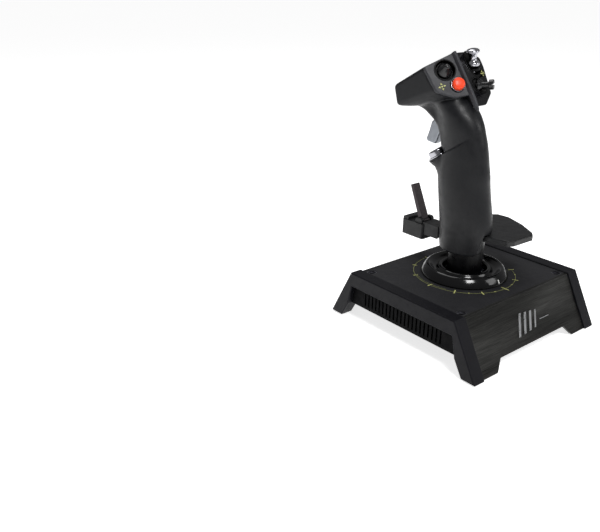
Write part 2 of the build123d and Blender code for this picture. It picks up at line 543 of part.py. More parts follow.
# ------------------------------------------------------------------ buttons and trigger
red = rev(RED_PL, [(0, -7.0), (2.4, -7.0), (2.4, -1.0), (5.9, -1.0), (5.9, 4.0), (5.5, 4.9), (4.2, 5.6), (2.2, 6.0), (0, 6.1)])
out("red_button", red)
nws = rev(LP, [(0, -15.2), (2.8, -15.2), (2.8, -5.0), (8.6, -5.0), (8.6, 5.6), (8.1, 6.6), (7.2, 7.1), (5.6, 6.6), (2.4, 6.0), (0, 5.9)])
out("nws_button", nws)
nws_rim = rev(LP, [(9.2, -3.0), (10.2, -3.0), (10.2, 0.0), (10.6, 0.0), (10.6, 0.9), (10.1, 1.4), (9.5, 1.4), (9.2, 1.0)])
out("nws_rim", nws_rim)
trig_pts = [(37.5, 146.5), (37.5, 151.0), (40.0, 152.4), (45.0, 152.6), (50.0, 149.5), (54.8, 145.0), (57.4, 135.5), (60.4, 127.4), (58.8, 124.8), (48.8, 123.6), (46.6, 126.0), (44.5, 133.0), (41.0, 141.0)]
trig = yz_prism([(y, G + z) for y, z in trig_pts], -TRIG_W / 2, TRIG_W / 2)
front = [e for e in trig.edges() if e.center().Y > 49 and abs(abs(e.center().X) - TRIG_W / 2) < 0.01]
trig = fillet_try(trig, front, 1.4)
trig = trig - Pos(0, TPIV[0], TPIV[1]) * Rot(0, 90, 0) * Cylinder(1.55, 30)
out("trigger", trig)

# ------------------------------------------------------------------ paddle
PPIV = (58.0, G + 39.0)
bracket = Pos(0, 65, G + 30) * Box(22, 30, 16)
vert = [e for e in bracket.edges().filter_by(Axis.Z)]
bracket = fillet_try(bracket, vert, 2.5)
bracket = bracket + Pos(0, 40.5, G + 34) * Box(18, 23, 13)
for sx in (-1, 1):
    lug = Pos(sx * 7.5, 58, G + 39) * Box(4, 9, 9)
    lug = fillet_try(lug, [e for e in lug.edges().filter_by(Axis.X) if e.center().Z > G + 40], 3.0)
    bracket = bracket + lug
bracket = bracket + Pos(0, 75.5, G + 39) * Box(20, 7, 4)
bracket = bracket - Pos(0, 60, G + 40) * Box(11, 16, 14)
bracket = bracket - handle_out - stem_out
pin_p = Pos(0, PPIV[0], PPIV[1]) * Rot(0, 90, 0) * Cylinder(1.5, 18.6)
out("paddle_bracket", biggest(bracket - pin_p))
out("paddle_pin", pin_p)
lever = yz_prism([(55.9, G + 39.5), (60.3, G + 37.3), (76.4, G + 75.2), (73.4, G + 76.6)], -5, 5)
lever = fillet_try(lever, [e for e in lever.edges().filter_by(Axis.X) if e.center().Z > G + 70], 0.8)
lever = lever + Pos(0, PPIV[0], PPIV[1]) * Rot(0, 90, 0) * Cylinder(3.3, 10.0)
lever = lever - Pos(0, PPIV[0], PPIV[1]) * Rot(0, 90, 0) * Cylinder(1.55, 30)
out("paddle_lever", lever)

# ------------------------------------------------------------------ hand rest
rest_pts = [(-3, -15), (5, -44), (12, -47), (40, -48), (46, -43), (58, -23), (67, 0), (66, 14), (60, 18), (20, 18), (-3, 5)]
rest = xy_prism(rest_pts, G + 38.5, G + 44.5)
corner = [e for e in rest.edges().filter_by(Axis.Z) if e.center().X > 3]
rest = fillet_try(rest, corner, 3.0)
rest = fillet_try(rest, rest.faces().sort_by(Axis.Z)[-1].edges(), 1.6)
boss = Pos(26, 12, G + 33.3) * Box(9, 12, 11.4)
boss = fillet_try(boss, boss.edges().filter_by(Axis.Z), 2.0)
rest = rest + boss
rest = rest - Pos(0, STEM[2], G + 20) * extrude(Ellipse(STEM[3] + 0.45, STEM[4] + 0.45), 30) - cyl(ZP, NECK_R + 0.45, 60, 120)
RSC = (12.0, G + 31.8)
rest = rest - Pos(30, RSC[0], RSC[1]) * Rot(0, 90, 0) * Cylinder(2.05, 40)
out("hand_rest", biggest(rest))
knob = Pos(35.2, RSC[0], RSC[1]) * Rot(0, 90, 0) * Cylinder(5.6, 8.0)
for a in range(0, 360, 30):
    knob = knob - Pos(35.2, RSC[0], RSC[1]) * Rot(a, 0, 0) * Pos(0, 5.9, 0) * Rot(0, 90, 0) * Cylinder(0.8, 10)
knob = knob + Pos(26.15, RSC[0], RSC[1]) * Rot(0, 90, 0) * Cylinder(2.0, 12.3)
out("rest_thumbscrew", knob)

# ------------------------------------------------------------------ printed arrows on the panels
def tri(pl, a, d, size):
    r = math.radians(a)
    c = (math.cos(r) * d, math.sin(r) * d)
    pts = [(c[0] + math.cos(r) * size, c[1] + math.sin(r) * size)]
    for k in (2.1, -2.1):
        pts.append((c[0] + math.cos(r + k) * size, c[1] + math.sin(r + k) * size))
    f = Face(Wire.make_polygon([pl.from_local_coords(Vector(x, y, 0)) for x, y in pts], close=True))
    return Solid.extrude(f, pl.z_dir * 0.25)


mark_bits = []
MARK_L = frame_at(left_at(29.6, -24.0), N_LEFT)
MARK_R = frame_at(right_at(27.5, 33.0), N_RIGHT)
for pl, sc in ((MARK_L, 1.0), (MARK_R, 0.8)):
    for a in (0, 90, 180, 270):
        mark_bits.append(tri(pl, a, 2.6 * sc, 1.3 * sc))
    mark_bits.append(cyl(pl, 0.9 * sc, 0, 0.25))
out("thumb_marks", mark_bits)
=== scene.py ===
import math

import bpy
import numpy as np
from mathutils import Matrix, Vector


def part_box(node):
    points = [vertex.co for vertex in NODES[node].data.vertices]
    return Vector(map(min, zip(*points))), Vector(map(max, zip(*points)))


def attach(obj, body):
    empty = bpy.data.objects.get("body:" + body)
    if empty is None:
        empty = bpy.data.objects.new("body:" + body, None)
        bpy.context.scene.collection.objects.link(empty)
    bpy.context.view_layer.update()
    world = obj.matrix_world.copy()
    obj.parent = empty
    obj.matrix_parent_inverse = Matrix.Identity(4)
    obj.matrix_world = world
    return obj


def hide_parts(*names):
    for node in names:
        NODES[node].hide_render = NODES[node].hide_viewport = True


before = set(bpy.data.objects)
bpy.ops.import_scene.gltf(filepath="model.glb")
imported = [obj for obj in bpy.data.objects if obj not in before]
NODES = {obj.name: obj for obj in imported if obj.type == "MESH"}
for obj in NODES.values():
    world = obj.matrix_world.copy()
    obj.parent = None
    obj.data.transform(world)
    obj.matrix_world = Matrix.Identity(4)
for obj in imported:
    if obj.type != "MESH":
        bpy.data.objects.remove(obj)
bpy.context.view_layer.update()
scene = bpy.context.scene
G = 54.0                       # grip heights are counted from the cheek's top edge, in millimetres
MM = 0.001


# ---------------------------------------------------------------- camera, light, floor
def make_camera():
    cam = bpy.data.cameras.new("camera")
    cam.lens, cam.sensor_width, cam.sensor_fit = 40.99, 36.0, "HORIZONTAL"
    cam.clip_start, cam.clip_end = 0.01, 120.0
    ob = bpy.data.objects.new("camera", cam)
    scene.collection.objects.link(ob)
    fwd = Vector((0.56500, 0.72702, -0.39015)).normalized()
    right = Vector((0.78965, -0.61356, 0.0)).normalized()
    up = right.cross(fwd)
    m = Matrix((right, up, -fwd)).transposed().to_4x4()
    m.translation = Vector((-0.52800, -0.40515, 0.33231))
    ob.matrix_world = m
    scene.camera = ob


def area(name, loc, target, size, power, color=(1, 1, 1), size_y=None):
    li = bpy.data.lights.new(name, "AREA")
    li.energy, li.color, li.size = power, color, size
    if size_y:
        li.shape, li.size_y = "RECTANGLE", size_y
    ob = bpy.data.objects.new(name, li)
    scene.collection.objects.link(ob)
    loc, target = Vector(loc), Vector(target)
    ob.matrix_world = Matrix.Translation(loc) @ (target - loc).to_track_quat("-Z", "Y").to_matrix().to_4x4()
    return ob


def make_light():
    world = bpy.data.worlds.new("studio")
    scene.world = world
    world.use_nodes = True
    nt = world.node_tree
    bg = nt.nodes["Background"]
    grad = nt.nodes.new("ShaderNodeTexGradient")
    tc = nt.nodes.new("ShaderNodeTexCoord")
    mp = nt.nodes.new("ShaderNodeMapping")
    mp.inputs["Rotation"].default_value = (0, math.radians(90), 0)
    ramp = nt.nodes.new("ShaderNodeValToRGB")
    ramp.color_ramp.elements[0].position = 0.30
    ramp.color_ramp.elements[0].color = (0.80, 0.80, 0.81, 1)
    ramp.color_ramp.elements[1].position = 0.80
    ramp.color_ramp.elements[1].color = (1, 1, 1, 1)
    nt.links.new(tc.outputs["Generated"], mp.inputs["Vector"])
    nt.links.new(mp.outputs["Vector"], grad.inputs["Vector"])
    nt.links.new(grad.outputs["Fac"], ramp.inputs["Fac"])
    nt.links.new(ramp.outputs["Color"], bg.inputs["Color"])
    bg.inputs["Strength"].default_value = 0.26
    area("key", (-0.42, -0.80, 1.40), (0, 0, 0.18), 0.42, 14.0, size_y=0.42)
    area("pilot_side", (0.75, -1.05, 0.85), (0, 0, 0.12), 0.6, 3.6, size_y=0.5)
    area("top", (0.1, 0.55, 1.45), (0, 0.02, 0.1), 0.9, 8.0)


def make_floor():
    n = 48
    verts, faces = [(0.0, 0.0, 0.0)], []
    radii = [0.4, 0.9, 1.6, 2.6, 4.0, 8.0, 16.0, 40.0]
    for r in radii:
        for i in range(n):
            a = 2 * math.pi * i / n
            verts.append((r * math.cos(a), r * math.sin(a), 0.0))
    for i in range(n):
        faces.append((0, 1 + i, 1 + (i + 1) % n))
    for k in range(len(radii) - 1):
        for i in range(n):
            a, b = 1 + k * n + i, 1 + k * n + (i + 1) % n
            faces.append((a, a + n, b + n, b))
    me = bpy.data.meshes.new("floor")
    me.from_pydata(verts, [], faces)
    ob = bpy.data.objects.new("floor", me)
    scene.collection.objects.link(ob)
    mat = bpy.data.materials.new("floor_paper")
    mat.use_nodes = True
    p = mat.node_tree.nodes["Principled BSDF"]
    p.inputs["Base Color"].default_value = (0.92, 0.92, 0.92, 1)
    p.inputs["Roughness"].default_value = 0.8
    p.inputs["Emission Color"].default_value = (1, 1, 1, 1)
    p.inputs["Emission Strength"].default_value = 0.74
    me.materials.append(mat)


make_camera()
make_light()
make_floor()
scene.view_settings.view_transform = "Standard"


# ---------------------------------------------------------------- materials
class Mat:
    """A Principled material whose colour, roughness and bump come from procedural textures in object space."""

    def __init__(self, name, color, rough, metal=0.0, spec=0.5, coat=0.0, coat_rough=0.1, aniso=0.0, sheen=0.0):
        self.m = bpy.data.materials.new(name)
        self.m.use_nodes = True
        self.nt = self.m.node_tree
        self.p = self.nt.nodes["Principled BSDF"]
        self.set("Base Color", (*color, 1))
        self.set("Roughness", rough)
        self.set("Metallic", metal)
        self.set("Specular IOR Level", spec)
        self.set("Coat Weight", coat)
        self.set("Coat Roughness", coat_rough)
        self.set("Anisotropic", aniso)
        self.set("Sheen Weight", sheen)
        self.color, self.rough = color, rough
        self.tc = self.nt.nodes.new("ShaderNodeTexCoord")
        self.height = None
        self.m.diffuse_color = (*color, 1)

    def set(self, key, value):
        self.p.inputs[key].default_value = value

    def node(self, kind, **kw):
        n = self.nt.nodes.new(kind)
        for k, v in kw.items():
            if k.startswith("i_"):
                n.inputs[k[2:]].default_value = v
            else:
                setattr(n, k, v)
        return n

    def link(self, a, b):
        self.nt.links.new(a, b)

    def noise(self, scale, detail=2.0, stretch=(1, 1, 1), rotate=(0, 0, 0), rough=0.5, dist=0.0):
        mp = self.node("ShaderNodeMapping")
        mp.inputs["Scale"].default_value = stretch
        mp.inputs["Rotation"].default_value = rotate
        self.link(self.tc.outputs["Object"], mp.inputs["Vector"])
        n = self.node("ShaderNodeTexNoise", i_Scale=scale, i_Detail=detail, i_Roughness=rough, i_Distortion=dist)
        self.link(mp.outputs["Vector"], n.inputs["Vector"])
        return n.outputs["Fac"]

    def voronoi(self, scale):
        n = self.node("ShaderNodeTexVoronoi", i_Scale=scale)
        self.link(self.tc.outputs["Object"], n.inputs["Vector"])
        return n.outputs["Distance"]

    def ramp(self, fac, stops):
        r = self.node("ShaderNodeValToRGB")
        els = r.color_ramp.elements
        while len(els) < len(stops):
            els.new(0.5)
        for e, (pos, c) in zip(els, stops):
            e.position = pos
            e.color = (*c, 1) if len(c) == 3 else c
        self.link(fac, r.inputs["Fac"])
        return r.outputs["Color"]

    def range(self, fac, lo, hi, flo=0.3, fhi=0.7):
        r = self.node("ShaderNodeMapRange")
        r.inputs["From Min"].default_value, r.inputs["From Max"].default_value = flo, fhi
        r.inputs["To Min"].default_value, r.inputs["To Max"].default_value = lo, hi
        self.link(fac, r.inputs["Value"])
        return r.outputs["Result"]

    def mix(self, fac, a, b, mode="MIX"):
        n = self.node("ShaderNodeMix", data_type="RGBA", blend_type=mode)
        ins = [i for i in n.inputs if i.type == "RGBA"]
        for sock, v in ((n.inputs["Factor"], fac), (ins[0], a), (ins[1], b)):
            if hasattr(v, "default_value") and hasattr(v, "node"):
                self.link(v, sock)
            else:
                sock.default_value = v
        return [o for o in n.outputs if o.type == "RGBA"][0]

    def math(self, op, a, b):
        n = self.node("ShaderNodeMath", operation=op)
        for sock, v in ((n.inputs[0], a), (n.inputs[1], b)):
            if hasattr(v, "node"):
                self.link(v, sock)
            else:
                sock.default_value = v
        return n.outputs[0]

    def to(self, key, out):
        self.link(out, self.p.inputs[key])

    def bump(self, fac, strength, distance):
        b = self.node("ShaderNodeBump")
        b.inputs["Strength"].default_value = strength
        b.inputs["Distance"].default_value = distance
        self.link(fac, b.inputs["Height"])
        if self.height is not None:
            self.link(self.height, b.inputs["Normal"])
        self.height = b.outputs["Normal"]
        self.link(self.height, self.p.inputs["Normal"])

    def edge(self, radius=0.0008, samples=4):
        """Where the surface turns sharply: 0 on flats, up to 1 on edges."""
        bv = self.node("ShaderNodeBevel", samples=samples)
        bv.inputs["Radius"].default_value = radius
        geo = self.node("ShaderNodeNewGeometry")
        dot = self.node("ShaderNodeVectorMath", operation="DOT_PRODUCT")
        self.link(bv.outputs["Normal"], dot.inputs[0])
        self.link(geo.outputs["Normal"], dot.inputs[1])
        return self.range(dot.outputs["Value"], 1.0, 0.0, 0.86, 0.995)


def plastic(name, color, rough, grain=2600.0, grain_depth=0.00004, wear=0.35, mottled=0.18, rough_var=0.08, spec=0.5, coat=0.0, lighten=1.9):
    m = Mat(name, color, rough, spec=spec, coat=coat)
    big = m.noise(38.0, 3.0)
    dark = tuple(c * (1 - mottled) for c in color)
    light = tuple(min(1, c * (1 + mottled)) for c in color)
    base = m.ramp(big, [(0.3, dark), (0.7, light)])
    scuff = m.noise(420.0, 4.0, rough=0.65)
    edge = m.edge()
    worn = m.math("MULTIPLY", edge, m.range(scuff, 0.15, wear, 0.35, 0.7))
    base = m.mix(worn, base, (*[min(1, c * lighten + 0.02) for c in color], 1))
    m.to("Base Color", base)
    r = m.range(m.noise(160.0, 3.0), rough - rough_var, rough + rough_var)
    m.to("Roughness", r)
    m.bump(m.noise(grain, 2.0), 0.35, grain_depth)
    m.bump(m.noise(grain * 0.22, 2.0), 0.10, grain_depth)
    return m.m


def brushed(name, color, rough=0.34, along="X", metal=1.0, streak=0.5, spec=0.5):
    m = Mat(name, color, rough, metal=metal, spec=spec, aniso=0.6)
    st = {"X": (1, 60, 60), "Y": (60, 1, 60), "Z": (60, 60, 1)}[along]
    fine = m.noise(46.0, 3.0, stretch=st, rough=0.6)
    coarse = m.noise(9.0, 3.0, stretch=tuple(1 if s == 1 else 14 for s in st), rough=0.55)
    both = m.math("ADD", m.math("MULTIPLY", fine, 0.55), m.math("MULTIPLY", coarse, 0.45))
    lo = tuple(c * (1 - streak) for c in color)
    hi = tuple(min(1, c * (1 + streak)) for c in color)
    base = m.ramp(both, [(0.34, lo), (0.66, hi)])
    edge = m.edge(0.0005)
    base = m.mix(m.math("MULTIPLY", edge, 0.5), base, (*[min(1, c * 2.4 + 0.05) for c in color], 1))
    m.to("Base Color", base)
    m.to("Roughness", m.range(both, rough + 0.12, rough - 0.06, 0.35, 0.65))
    m.bump(fine, 0.12, 0.00004)
    return m.m


def metal(name, color, rough, var=0.05, scratch=0.1, aniso=0.0, fine=900.0, coat=0.0):
    m = Mat(name, color, rough, metal=1.0, aniso=aniso, coat=coat)
    cloud = m.noise(60.0, 3.0)
    m.to("Base Color", m.ramp(cloud, [(0.3, tuple(c * 0.93 for c in color)), (0.7, color)]))
    m.to("Roughness", m.range(m.noise(240.0, 4.0, rough=0.6), max(0.02, rough - var), rough + var))
    m.bump(m.noise(fine, 2.0, stretch=(1, 1, 5)), scratch, 0.00002)
    return m.m


def ink(name, color, rough=0.5):
    m = Mat(name, color, rough)
    n = m.noise(900.0, 3.0, rough=0.7)
    m.to("Base Color", m.ramp(n, [(0.25, tuple(c * 0.72 for c in color)), (0.6, color)]))
    m.to("Roughness", m.range(n, rough + 0.1, rough - 0.05))
    m.bump(n, 0.2, 0.00002)
    return m.m


M = {
    "deck": plastic("deck_powder", (0.0105, 0.0105, 0.0125), 0.58, grain=3200, grain_depth=0.00007, wear=0.3, mottled=0.12, spec=0.32),
    "cheek": plastic("cheek_satin", (0.0050, 0.0050, 0.0068), 0.44, grain=3600, grain_depth=0.00003, wear=0.5, mottled=0.10, lighten=2.6, spec=0.13),
    "vent": plastic("vent_plastic", (0.0012, 0.0012, 0.0016), 0.6, grain=3000, spec=0.06, wear=0.1),
    "brushed": brushed("brushed_dark", (0.036, 0.036, 0.034), 0.42, "X", streak=0.8),
    "collar": plastic("collar_gloss", (0.0015, 0.0015, 0.0020), 0.13, grain=1200, grain_depth=0.000003, wear=0.05, rough_var=0.03, spec=0.4),
    "neck": plastic("neck_black", (0.0015, 0.0015, 0.0020), 0.34, grain=1800, grain_depth=0.00001, wear=0.05, spec=0.2),
    "grip": plastic("grip_satin", (0.0068, 0.0071, 0.0084), 0.41, grain=2800, grain_depth=0.00004, wear=0.2, mottled=0.08, spec=0.27),
    "panel": plastic("thumb_panel", (0.0330, 0.0335, 0.0380), 0.50, grain=3200, grain_depth=0.00005, wear=0.6, mottled=0.12, spec=0.35),
    "bezel": plastic("bezel_gloss", (0.0035, 0.0035, 0.0042), 0.18, grain=1600, grain_depth=0.000006, wear=0.5, rough_var=0.05, spec=0.45),
    "hat": plastic("hat_black", (0.0045, 0.0047, 0.0055), 0.26, grain=1800, grain_depth=0.00002, wear=0.5, spec=0.5),
    "well": plastic("well_black", (0.0015, 0.0015, 0.0018), 0.5, grain=2400, spec=0.15),
    "inner": plastic("inner_plastic", (0.006, 0.006, 0.007), 0.5, spec=0.25),
    "bracket": plastic("bracket_black", (0.0085, 0.0087, 0.0095), 0.44, grain=3000, wear=0.5, spec=0.32),
    "rubber": plastic("foot_rubber", (0.008, 0.008, 0.008), 0.8, grain=1500, grain_depth=0.0001, spec=0.2),
    "red": plastic("button_red", (0.80, 0.055, 0.012), 0.34, grain=1500, grain_depth=0.00001, wear=0.1, mottled=0.06, lighten=1.1, spec=0.4),
    "chrome": metal("chrome", (0.42, 0.42, 0.45), 0.13, var=0.03, scratch=0.03),
    "trigger": metal("trigger_metal", (0.27, 0.285, 0.31), 0.46, var=0.06, scratch=0.12, fine=1600),
    "steel": metal("steel", (0.45, 0.45, 0.48), 0.32),
    "cap_metal": metal("cap_metal", (0.20, 0.20, 0.22), 0.38),
    "alloy": metal("alloy", (0.55, 0.56, 0.58), 0.3),
    "blade": metal("blade_metal", (0.050, 0.044, 0.046), 0.34, scratch=0.15),
    "cast": plastic("cast_weight", (0.05, 0.05, 0.052), 0.65, grain=900, grain_depth=0.0002),
    "brass": metal("brass", (0.72, 0.52, 0.22), 0.3),
    "board": plastic("board_green", (0.012, 0.09, 0.03), 0.35, grain=900),
    "dial": ink("dial_ink", (0.46, 0.47, 0.17)),
    "dial_faint": ink("dial_ring_ink", (0.20, 0.21, 0.075)),
    "white": ink("white_ink", (0.60, 0.60, 0.58)),
    "badge": metal("badge_metal", (0.62, 0.63, 0.64), 0.30, scratch=0.08),
}
CAD_MATS = {
    "left_cheek": "cheek", "right_cheek": "cheek", "deck_plate": "deck", "pilot_panel": "brushed", "nose_panel": "brushed",
    "left_vent_panel": "vent", "right_vent_panel": "vent", "bottom_plate": "deck", "rubber_feet": "rubber", "mounting_sleeves": "cap_metal",
    "bottom_screws": "steel", "screw_rails": "inner", "ballast_plate": "cast", "main_board": "board", "link_socket": "inner", "usb_socket": "alloy",
    "badge": "badge", "dial_scale": "dial", "swivel_bush": "brass", "bush_carrier": "alloy", "collar": "collar", "collar_index": "white",
    "turntable_hub": "alloy", "hub_nut": "alloy", "sensor_base": "alloy", "roll_sensor": "alloy", "pitch_sensor": "alloy", "stick_shaft": "steel",
    "neck_sleeve": "neck", "grip_left_shell": "grip", "grip_right_shell": "grip", "left_thumb_panel": "panel", "right_thumb_panel": "bezel",
    "centre_rib": "panel", "paddle_bracket": "bracket", "paddle_pin": "steel", "trigger_pin": "steel", "trigger_switch": "inner", "nws_switch": "inner",
    "nws_rim": "chrome", "grip_board": "board", "grip_screws": "steel", "trim_hat_well": "well", "view_hat_well": "well", "castle_hat_well": "well",
    "red_button_guard": "chrome", "red_button_switch": "well", "thumb_marks": "dial", "trigger": "trigger", "nws_button": "chrome", "paddle_lever": "blade",
    "red_button": "red", "trim_hat_cradle": "well", "trim_hat_cap": "hat", "view_hat_cradle": "well", "view_hat_cap": "chrome",
    "castle_hat_cradle": "well", "castle_hat_cap": "hat", "hand_rest": "bracket", "rest_thumbscrew": "inner",
}
for node, ob in NODES.items():
    ob.data.materials.clear()
    ob.data.materials.append(M[CAD_MATS.get(node, "inner")])


def soften(node, width, angle=28.0, segments=2):
    ob = NODES[node]
    b = ob.modifiers.new("edge", "BEVEL")
    b.width, b.segments, b.limit_method, b.angle_limit = width * MM, segments, "ANGLE", math.radians(angle)
    b.use_clamp_overlap = True
    b.harden_normals = False
    b.miter_outer = "MITER_ARC"


# ---------------------------------------------------------------- shapes as distance fields, in millimetres
def smin(a, b, k):
    h = np.clip(0.5 + 0.5 * (b - a) / k, 0, 1)
    return b + (a - b) * h - k * h * (1 - h)


def smax(a, b, k):
    return -smin(-a, -b, k)


def plane_d(x, y, z, p, n):
    n = np.array(n, float)
    n = n / np.linalg.norm(n)
    return (x - p[0]) * n[0] + (y - p[1]) * n[1] + (z - p[2]) * n[2]


def poly_d(u, v, pts):
    pts = [np.array(p, float) for p in pts]
    d = np.full(u.shape, 1e9)
    s = np.ones(u.shape)
    for i in range(len(pts)):
        a, b = pts[i], pts[i - 1]
        e = b - a
        wu, wv = u - a[0], v - a[1]
        t = np.clip((wu * e[0] + wv * e[1]) / (e @ e), 0, 1)
        d = np.minimum(d, (wu - e[0] * t) ** 2 + (wv - e[1] * t) ** 2)
        c1, c2, c3 = v >= a[1], v < b[1], e[0] * wv > e[1] * wu
        flip = (c1 & c2 & c3) | (~c1 & ~c2 & ~c3)
        s = np.where(flip, -s, s)
    return s * np.sqrt(d)


def prism_d(u, v, w, pts, lo, hi, r):
    a = poly_d(u, v, pts) + r
    b = np.abs(w - (lo + hi) / 2) - (hi - lo) / 2 + r
    return np.minimum(np.maximum(a, b), 0) + np.sqrt(np.maximum(a, 0) ** 2 + np.maximum(b, 0) ** 2) - r


def box_d(x, y, z, c, s, r):
    q = [np.abs(v - m) - e / 2 + r for v, m, e in ((x, c[0], s[0]), (y, c[1], s[1]), (z, c[2], s[2]))]
    out = np.sqrt(sum(np.maximum(a, 0) ** 2 for a in q))
    return out + np.minimum(np.maximum(q[0], np.maximum(q[1], q[2])), 0) - r


def cyl_d(x, y, z, pl, r, lo, hi, rr=0.0):
    o, ax, ay, n = pl
    dx, dy, dz = x - o[0], y - o[1], z - o[2]
    lz = dx * n[0] + dy * n[1] + dz * n[2]
    rad = np.sqrt(np.maximum(dx * dx + dy * dy + dz * dz - lz * lz, 0))
    a, b = rad - r + rr, np.abs(lz - (lo + hi) / 2) - (hi - lo) / 2 + rr
    return np.minimum(np.maximum(a, b), 0) + np.sqrt(np.maximum(a, 0) ** 2 + np.maximum(b, 0) ** 2) - rr


CORNERS = np.array([(i, j, k) for i in (0, 1) for j in (0, 1) for k in (0, 1)])
EDGES = [(a, b) for a in range(8) for b in range(a + 1, 8) if np.abs(CORNERS[a] - CORNERS[b]).sum() == 1]


def net(f, lo, hi, h, relax=3):
    """Vertices and quads of the surface f = 0 inside the box."""
    lo, hi = np.array(lo, float), np.array(hi, float)
    n = np.ceil((hi - lo) / h).astype(int) + 1
    xs = [lo[i] + h * np.arange(n[i]) for i in range(3)]
    gx, gy, gz = np.meshgrid(*xs, indexing="ij")
    val = f(gx, gy, gz)
    ins = val < 0
    cnt = sum(ins[i:n[0] - 1 + i, j:n[1] - 1 + j, k:n[2] - 1 + k].astype(np.int8) for i, j, k in CORNERS)
    mask = (cnt > 0) & (cnt < 8)
    cells = np.argwhere(mask)
    cv = np.stack([val[cells[:, 0] + c[0], cells[:, 1] + c[1], cells[:, 2] + c[2]] for c in CORNERS], 1)
    acc, num = np.zeros((len(cells), 3)), np.zeros(len(cells))
    for a, b in EDGES:
        va, vb = cv[:, a], cv[:, b]
        cr = (va < 0) != (vb < 0)
        t = np.where(cr, va / np.where(cr, va - vb, 1), 0)
        acc += cr[:, None] * (CORNERS[a] + (CORNERS[b] - CORNERS[a]) * t[:, None])
        num += cr
    v = lo + h * (cells + acc / num[:, None])
    idx = np.full(mask.shape, -1, int)
    idx[mask] = np.arange(len(cells))
    quads = []
    for ax in range(3):
        o1, o2 = [(1, 2), (2, 0), (0, 1)][ax]
        sl_a = [slice(1, -1)] * 3
        sl_b = [slice(1, -1)] * 3
        sl_a[ax], sl_b[ax] = slice(0, -1), slice(1, None)
        a, b = ins[tuple(sl_a)], ins[tuple(sl_b)]
        e = np.argwhere(a != b)
        keep = a[tuple(e.T)]
        base = e.copy()
        base[:, o1] += 1
        base[:, o2] += 1
        q = []
        for d1, d2 in ((-1, -1), (0, -1), (0, 0), (-1, 0)):
            c = base.copy()
            c[:, o1] += d1
            c[:, o2] += d2
            q.append(idx[tuple(c.T)])
        q = np.stack(q, 1)
        q = np.where(keep[:, None], q, q[:, ::-1])
        quads.append(q)
    quads = np.concatenate(quads)
    eps = 0.02
    for _ in range(relax):
        x, y, z = v[:, 0], v[:, 1], v[:, 2]
        d = f(x, y, z)
        g = np.stack([f(x + eps, y, z) - f(x - eps, y, z), f(x, y + eps, z) - f(x, y - eps, z), f(x, y, z + eps) - f(x, y, z - eps)], 1) / (2 * eps)
        gg = (g * g).sum(1)
        step = -(d / np.maximum(gg, 0.05))[:, None] * g
        ln = np.linalg.norm(step, axis=1, keepdims=True)
        v = v + step * np.minimum(1, 0.35 * h / np.maximum(ln, 1e-9)) * 0.9
    return v, quads


def add_mesh(name, v, faces, mat, body, replaces=(), angle=32.0, z_up=True):
    me = bpy.data.meshes.new(name)
    v = np.array(v, float).copy()
    if z_up:
        v[:, 2] += G
    v *= MM
    if isinstance(faces, np.ndarray):
        me.vertices.add(len(v))
        me.vertices.foreach_set("co", v.astype(np.float32).ravel())
        k = faces.shape[1]
        me.loops.add(faces.size)
        me.loops.foreach_set("vertex_index", faces.astype(np.int32).ravel())
        me.polygons.add(len(faces))
        me.polygons.foreach_set("loop_start", np.arange(0, faces.size, k, dtype=np.int32))
        me.polygons.foreach_set("loop_total", np.full(len(faces), k, np.int32))
        me.update(calc_edges=True)
    else:
        me.from_pydata([tuple(p) for p in v], [], faces)
    me.validate()
    me.polygons.foreach_set("use_smooth", np.ones(len(me.polygons), bool))
    me.set_sharp_from_angle(angle=math.radians(angle))
    ob = bpy.data.objects.new(name, me)
    scene.collection.objects.link(ob)
    me.materials.append(mat)
    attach(ob, body)
    if replaces:
        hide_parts(*replaces)
    return ob


def sdf_piece(name, f, lo, hi, h, mat, body, replaces=(), angle=32.0):
    v, q = net(f, lo, hi, h)
    return add_mesh(name, v, q, mat, body, replaces, angle)


# ---------------------------------------------------------------- the grip's geometry
def norm(v):
    v = np.array(v, float)
    return v / np.linalg.norm(v)


R0, R1 = np.array([0, 3.8, 165.6]), np.array([0, 37.7, 212.5])
U = norm(R1 - R0)
N_RIGHT = np.array([0, -U[2], U[1]])
N_LEFT = norm(np.cross(U, (-28, 17.05, 0)))
if N_LEFT[1] > 0:
    N_LEFT = -N_LEFT
ACROSS = np.cross(U, N_LEFT)
if ACROSS[0] < 0:
    ACROSS = -ACROSS


def frame_at(p, n, up=U):
    n = norm(n)
    y = norm(np.array(up, float) - n * np.dot(up, n))
    return np.array(p, float), np.cross(y, n), y, n


def left_at(u, a, h=0.0):
    return R0 + U * u + ACROSS * a + N_LEFT * h


def right_at(x, u, h=0.0):
    return R0 + U * u + np.array([x, 0, 0]) + N_RIGHT * h


TRIM = frame_at(left_at(44.0, -14.7), N_LEFT)
RED = frame_at(left_at(26.3, -9.2), N_LEFT)
VIEW = frame_at(right_at(19.8, 43.2), (-0.18, 0.0, 0.984), (0, 1, 0))
CASTLE = frame_at(right_at(16.0, 21.4), (0.50, -0.86, 0.10), (0, 0, 1))
LEDGE = frame_at((-6.0, 40.5, 113.5), (-0.22, 0.52, 0.82), (0, 0, 1))

